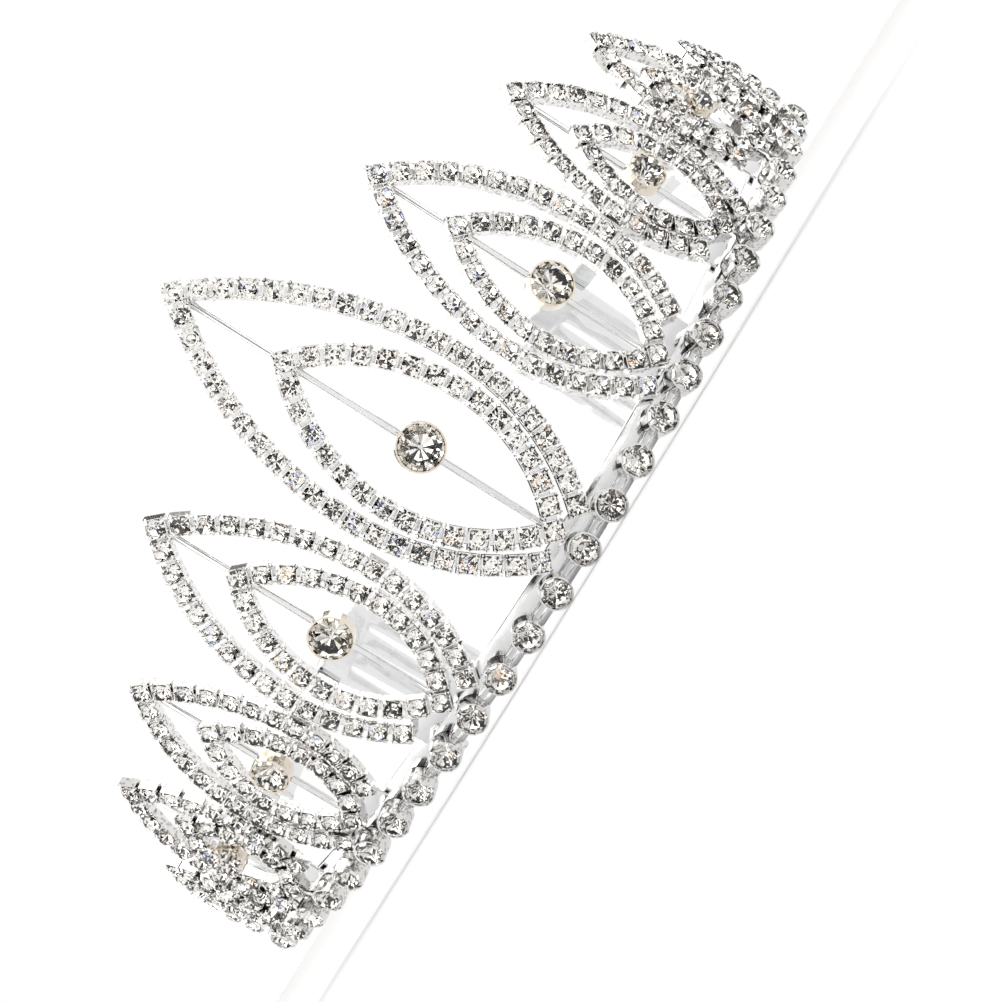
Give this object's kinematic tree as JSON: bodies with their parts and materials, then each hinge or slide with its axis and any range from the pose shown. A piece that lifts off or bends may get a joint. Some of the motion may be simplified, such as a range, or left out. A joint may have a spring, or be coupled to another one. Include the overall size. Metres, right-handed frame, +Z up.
{
  "type": "pageant crown",
  "caption": "Rhinestone crown of graduated open petals, double rows of stones each, on a flat metal headband with a comb at each end.",
  "frame": {"origin": "middle of the bounding box's base, on the surface that the crown stands on", "axes": "+Z up, -Y towards the crown's front, +X towards the side on the right when it is seen from the front; the crown leans forward by about 9 degrees, as it does when it stands on its base row and comb tips"},
  "size_m": [0.135, 0.1779, 0.0607],
  "materials": {
    "silver": "bright silver plating",
    "crystal": "clear cut crystal with a foil back"
  },
  "bodies": {
    "root": {"headband": "silver", "comb_left": "silver", "comb_right": "silver", "base_chain": "silver", "base_stones": "crystal", "petal_centre": "silver", "petal_left_1": "silver", "petal_left_2": "silver", "petal_left_3": "silver", "petal_left_4": "silver", "petal_right_1": "silver", "petal_right_2": "silver", "petal_right_3": "silver", "petal_right_4": "silver", "petal_centre_stones": "crystal", "petal_left_1_stones": "crystal", "petal_left_2_stones": "crystal", "petal_left_3_stones": "crystal", "petal_left_4_stones": "crystal", "petal_right_1_stones": "crystal", "petal_right_2_stones": "crystal", "petal_right_3_stones": "crystal", "petal_right_4_stones": "crystal", "large_stone_centre": "crystal", "large_stone_left_1": "crystal", "large_stone_left_2": "crystal", "large_stone_left_3": "crystal", "large_stone_right_1": "crystal", "large_stone_right_2": "crystal", "large_stone_right_3": "crystal"}
  },
  "joints": []
}
